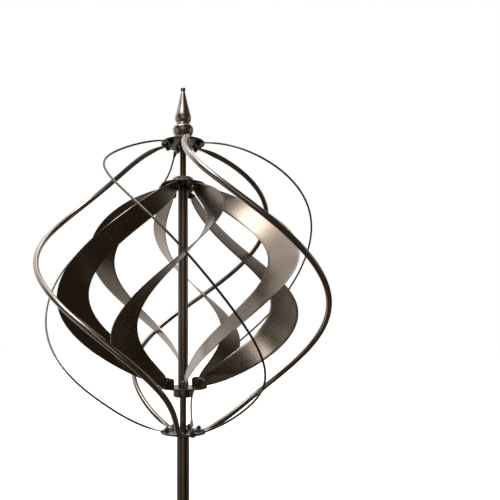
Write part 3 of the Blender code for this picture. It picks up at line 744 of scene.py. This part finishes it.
def make_lock_nut():
    """Make the hexagon lock nut over the upper bearing, on its round neck, with a groove round it."""
    low, high = span("bearing_lock_nut")
    corner = outer_radius("bearing_lock_nut")
    flat = corner * math.cos(math.pi / 6)
    neck = HOUSING_RADIUS - LOCK_NUT_UNDERCUT
    bore = SPINDLE_RADIUS + LOCK_NUT_CLEARANCE
    foot = low + LOCK_NUT_NECK
    groove_low = (foot + high - LOCK_NUT_GROOVE) / 2
    groove_high = groove_low + LOCK_NUT_GROOVE
    groove = flat * 0.90
    levels = [
        (low, bore), (low, neck), (foot, neck), (foot, flat * 0.97), (foot + LOCK_NUT_CHAMFER, None),
        (groove_low, None), (groove_low, groove), (groove_high, groove), (groove_high, None),
        (high - 0.0002 - LOCK_NUT_CHAMFER, None), (high - 0.0002, flat * 0.95), (high, flat * 0.90),
        (high, bore + LOCK_NUT_COUNTERSINK), (high - 0.0008, bore),
    ]
    rings = hex_sections(levels, corner, LATHE_STEPS, Vector(), UP, outward(0.0))
    bm = bmesh.new()
    loft(bm, [list(profile) for profile in zip(*rings)], closed=True)
    add_piece(bm, FINIAL_METAL, "bearing_lock_nut", "inner_rotor")


def make_collars():
    """Make the sleeve round the spindle and the collars that hold the inner cage's bearings."""
    low, high = span("inner_sleeve")
    turned_piece("inner_sleeve", ring_outline(SLEEVE_RADIUS - SLEEVE_WALL, SLEEVE_RADIUS, low, high),
                 SLEEVE_METAL, "inner_rotor", edge=0.0002)
    low, high = span("inner_upper_collar")
    turned_piece("inner_upper_collar", ring_outline(HOUSING_BORE, HOUSING_RADIUS, low, high),
                 FINIAL_METAL, "inner_rotor", edge=0.0006)
    low, high = span("inner_lower_collar")
    turned_piece("inner_lower_collar", [
        (BEARING_SEAT, low), (HOUSING_RADIUS, low), (HOUSING_RADIUS, high), (HOUSING_BORE, high),
        (HOUSING_BORE, low + HOUSING_FOOT), (BEARING_SEAT, low + HOUSING_FOOT),
    ], HUB_METAL, "inner_rotor", edge=0.0022)


def make_inner_cage():
    """Make the blades, plates, fasteners, sleeve, collars and lock nut of the inner cage."""
    turns = [math.radians(BLADE_FIRST_TURN_DEG + 60.0 * index + lean)
             for index, lean in enumerate(BLADE_LEAN_DEG)]
    for number, turn in enumerate(turns, start=1):
        make_blade(number, turn)
    for end, word in ((1, "top"), (-1, "bottom")):
        end_turns = [turn + blade_turn(end * HALF_PLATE_SPAN) for turn in turns]
        make_plate(word, end, end_turns)
        for number, turn in enumerate(end_turns, start=1):
            tangent = outward(turn + math.pi / 2)
            seat = polar(LUG_BOLT_RADIUS, turn, end * (PLATE_FACE - LUG_BOLT_DEPTH)) + tangent * LUG_FAR_FACE
            make_bolt(f"inner_{word}_bolt_{number}", "inner_rotor", seat, tangent, UP,
                      LUG_THICKNESS + GAP + BLADE_THICKNESS)
    make_collars()
    make_lock_nut()


# The stake


def between(four, share):
    """Return the value at a share of the way between the middle two of four, on a smooth curve."""
    before, start, end, after = four
    straight = (end - before) * share
    bend = (2 * before - 5 * start + 4 * end - after) * share ** 2
    twist = (3 * start - before - 3 * end + after) * share ** 3
    return 0.5 * (2 * start + straight + bend + twist)


def make_finial():
    """Make the turned finial: a foot, a ball, a waist, a long cone and a bead at the tip."""
    foot, tip = span("finial")
    knots = [*FINIAL_OUTLINE, (0.0, tip - foot)]
    last = len(knots) - 1
    socket = SPINDLE_RADIUS + GAP
    outline = [(0.0, foot + FINIAL_SOCKET_DEPTH), (socket, foot + FINIAL_SOCKET_DEPTH), (socket, foot)]
    for index in range(last):
        four = [knots[max(0, min(last, index + shift))] for shift in (-1, 0, 1, 2)]
        for step in range(CURVE_STEPS):
            radius, height = (between(values, step / CURVE_STEPS) for values in zip(*four))
            outline.append((radius, foot + height))
    outline.append((0.0, tip))
    bm = bmesh.new()
    lathe(bm, outline, closed=False)
    add_piece(bm, FINIAL_METAL, "finial", "stake")


def make_spindle():
    """Make the spindle, with the shoulder that carries the inner cage."""
    low, high = span("spindle")
    shoulder_low = span("inner_lower_collar")[0]
    shoulder_high = shoulder_low + HOUSING_FOOT
    turned_piece("spindle", [
        (0.0, low), (SPINDLE_RADIUS, low), (SPINDLE_RADIUS, shoulder_low), (SHOULDER_RADIUS, shoulder_low),
        (SHOULDER_RADIUS, shoulder_high), (SPINDLE_RADIUS, shoulder_high), (SPINDLE_RADIUS, high),
        (0.0, high),
    ], SLEEVE_METAL, "stake", closed=False)


def make_pole():
    """Make the pole's three sections, the upper two drawn in at their feet."""
    bore = POLE_RADIUS - POLE_WALL
    low, high = span("pole_lower")
    outlines = {"pole_lower": ring_outline(bore, POLE_RADIUS, low, high)}
    spigot = bore - GAP
    spigot_bore = spigot - SPIGOT_WALL
    for name in ("pole_middle", "pole_upper"):
        low, high = span(name)
        seam = low + SPIGOT_LENGTH
        outlines[name] = [
            (spigot_bore, low), (spigot, low), (spigot, seam), (POLE_RADIUS, seam), (POLE_RADIUS, high),
            (bore, high), (bore, seam + POLE_WALL), (spigot_bore, seam),
        ]
    for name, outline in outlines.items():
        turned_piece(name, outline, POLE_METAL, "stake", edge=0.0005)


def make_prong(number, turn):
    """Make one bent rod of the fork, with a bevelled end."""
    node = f"prong_{number}"
    low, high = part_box(node)
    rod, foot = high.z / 2, low.z
    start, bend = COLLAR_RADIUS + GAP, PRONG_REACH - PRONG_BEND
    line = [(blend(start, bend, step / PRONG_STRAIGHT_STATIONS), rod)
            for step in range(PRONG_STRAIGHT_STATIONS)]
    for step in range(PRONG_BEND_STATIONS + 1):
        angle = math.pi / 2 * (1 - step / PRONG_BEND_STATIONS)
        line.append((bend + PRONG_BEND * math.cos(angle), rod - PRONG_BEND * (1 - math.sin(angle))))
    line += [(PRONG_REACH, depth) for depth in (-0.05, -0.10, -0.15, -0.20, foot + PRONG_CHAMFER, foot)]
    radial = outward(turn)
    across = UP.cross(radial)
    path = [radial * radius + UP * height for radius, height in line]
    sections = []
    for index, point in enumerate(path):
        size = rod * (PRONG_CUT_SHARE if index == len(path) - 1 else 1.0)
        other = across.cross(direction(path, index))
        sections.append(ellipse(point, across * size, other * size, PRONG_SIDES))
    bm = bmesh.new()
    loft(bm, sections)
    add_piece(bm, FORK_METAL, node, "stake")


def make_fork():
    """Make the collar, spike and prongs under the pole."""
    low, high = span("ground_collar")
    floor, bore, seat = low + COLLAR_FLOOR, SPIKE_RADIUS + GAP, POLE_RADIUS + GAP
    turned_piece("ground_collar", [
        (bore, low), (COLLAR_RADIUS, low), (COLLAR_RADIUS, high), (seat, high), (seat, floor), (bore, floor),
    ], FORK_METAL, "stake", edge=0.0010)
    high = span("ground_spike")[1]
    outline = [(radius, SPIKE_TIP + height) for radius, height in SPIKE_OUTLINE]
    turned_piece("ground_spike", outline + [(SPIKE_RADIUS, high), (0.0, high)],
                 FORK_METAL, "stake", closed=False, edge=0.0060)
    for number, turn in enumerate(PRONG_TURNS_DEG, start=1):
        make_prong(number, math.radians(turn))


def finish_kept_nodes():
    """Give the bearings, the washer and the plug, whose CAD shapes stay, their metals."""
    for name, node in frame["nodes"].items():
        if node.hide_render:
            continue
        material = BEARING_METAL if "bearing" in name else BOLT_METAL
        node.data.materials.clear()
        node.data.materials.append(material)


# Studio

# Soft panels all round: azimuth, elevation, inner and outer radius in degrees, and strength
PANELS = (
    (-146.0, 63.0, 3.0, 19.0, 6.6),
    (18.0, 68.0, 4.0, 18.0, 2.2),
    (-60.0, 68.0, 12.0, 42.0, 0.64),
    (-40.0, 20.0, 16.0, 52.0, 0.72),
    (-15.0, -4.0, 8.0, 36.0, 0.40),
    (-48.0, -34.0, 6.0, 28.0, 0.35),
    (22.0, 24.0, 10.0, 42.0, 0.40),
    (-176.0, 56.0, 4.0, 18.0, 0.70),
    (-175.0, 6.0, 5.0, 30.0, 0.34),
    (-105.0, -8.0, 6.0, 26.0, 0.30),
    (84.0, 2.0, 5.0, 22.0, 0.28),
)
PANEL_TINT = (1.0, 0.985, 0.97)
AMBIENT = (0.052, 0.038, 0.025)
FLOOR_RADIUS = 30.0
FLOOR_GAP = 0.0005  # under the spike's tip


def make_floor():
    """Make the pale paper floor that the fork stands on, which glows a little less round the fork."""
    bm = bmesh.new()
    bmesh.ops.create_circle(bm, cap_ends=True, radius=FLOOR_RADIUS, segments=96)
    mesh = mesh_from("floor", bm)
    floor = in_scene("floor", mesh)
    floor.location = (0.0, 0.0, SPIKE_TIP - FLOOR_GAP)
    material = bpy.data.materials.new("floor_paper")
    material.use_nodes = True
    tree = material.node_tree
    shader = tree.nodes["Principled BSDF"]
    place = tree.nodes.new("ShaderNodeTexCoord").outputs["Object"]
    grain = noise(tree, place, EVENLY, scale=60.0)
    from_axis = worked(tree, "ShaderNodeVectorMath", "LENGTH", place)
    feed(tree, shader.inputs["Base Color"],
         mixed(tree, grain, (0.86, 0.86, 0.86, 1.0), (0.90, 0.90, 0.90, 1.0)))
    feed(tree, shader.inputs["Emission Strength"], ramp(tree, from_axis, (0.3, 2.2), (0.50, 0.85)))
    shader.inputs["Emission Color"].default_value = WHITE
    shader.inputs["Roughness"].default_value = 0.9
    mesh.materials.append(material)
    floor.visible_glossy = False
    floor.visible_diffuse = False


def glow(tree, way, azimuth, elevation, inner, outer, strength):
    """Return the light of one soft round panel; its azimuth runs from +Y towards +X, in degrees."""
    turn, lift = math.radians(azimuth), math.radians(elevation)
    aim = (math.sin(turn) * math.cos(lift), math.cos(turn) * math.cos(lift), math.sin(lift))
    facing = worked(tree, "ShaderNodeVectorMath", "DOT_PRODUCT", way, aim)
    rim, core = math.cos(math.radians(outer)), math.cos(math.radians(inner))
    return ramp(tree, facing, (rim, core), (0.0, strength), "SMOOTHSTEP")


def make_world():
    """Light the scene with soft panels in a dim warm room, seen by the camera as plain white."""
    world = bpy.data.worlds.new("studio")
    bpy.context.scene.world = world
    world.use_nodes = True
    tree = world.node_tree
    tree.nodes.clear()
    way = tree.nodes.new("ShaderNodeTexCoord").outputs["Generated"]
    total = glow(tree, way, *PANELS[0])
    for panel in PANELS[1:]:
        total = worked(tree, "ShaderNodeMath", "ADD", total, glow(tree, way, *panel))
    light = worked(tree, "ShaderNodeVectorMath", "MULTIPLY_ADD", total, PANEL_TINT, AMBIENT)
    studio = node_after(tree, "ShaderNodeBackground", Color=light, Strength=1.0)
    wall = node_after(tree, "ShaderNodeBackground", Color=WHITE, Strength=1.0)
    seen = tree.nodes.new("ShaderNodeLightPath").outputs["Is Camera Ray"]
    chosen = tree.nodes.new("ShaderNodeMixShader")
    sources = (seen, studio.outputs["Background"], wall.outputs["Background"])
    for socket, source in zip(chosen.inputs, sources):
        feed(tree, socket, source)
    node_after(tree, "ShaderNodeOutputWorld", Surface=chosen.outputs["Shader"])


def make_softbox():
    """Hang one large square softbox over the head, facing it."""
    data = bpy.data.lights.new("overhead_softbox", "AREA")
    data.shape = "SQUARE"
    data.size = 2.4
    data.energy = 6.0
    softbox = in_scene("overhead_softbox", data)
    softbox.location = (-0.6, -0.4, HEAD + 2.6)
    to_head = Vector((0.0, 0.0, HEAD)) - softbox.location
    softbox.rotation_euler = to_head.to_track_quat("-Z", "Y").to_euler()


def make_camera():
    """Look at the head from close by and a little under its middle, with the pole left of the centre."""
    distance, below, pitch = 0.8804, 0.0649, math.radians(4.234)
    data = bpy.data.cameras.new("camera")
    data.sensor_width = 36.0
    data.lens = 40.807
    data.shift_x, data.shift_y = 0.134, 0.07
    data.clip_start = 0.05
    camera = in_scene("camera", data)
    camera.location = (0.0, -distance, HEAD - below)
    camera.rotation_euler = (math.pi / 2 + pitch, 0.0, 0.0)
    bpy.context.scene.camera = camera


make_camera()
make_outer_cage()
make_inner_cage()
make_finial()
make_spindle()
make_pole()
make_fork()
finish_kept_nodes()
make_floor()
make_world()
make_softbox()
bpy.context.scene.view_settings.view_transform = "Standard"
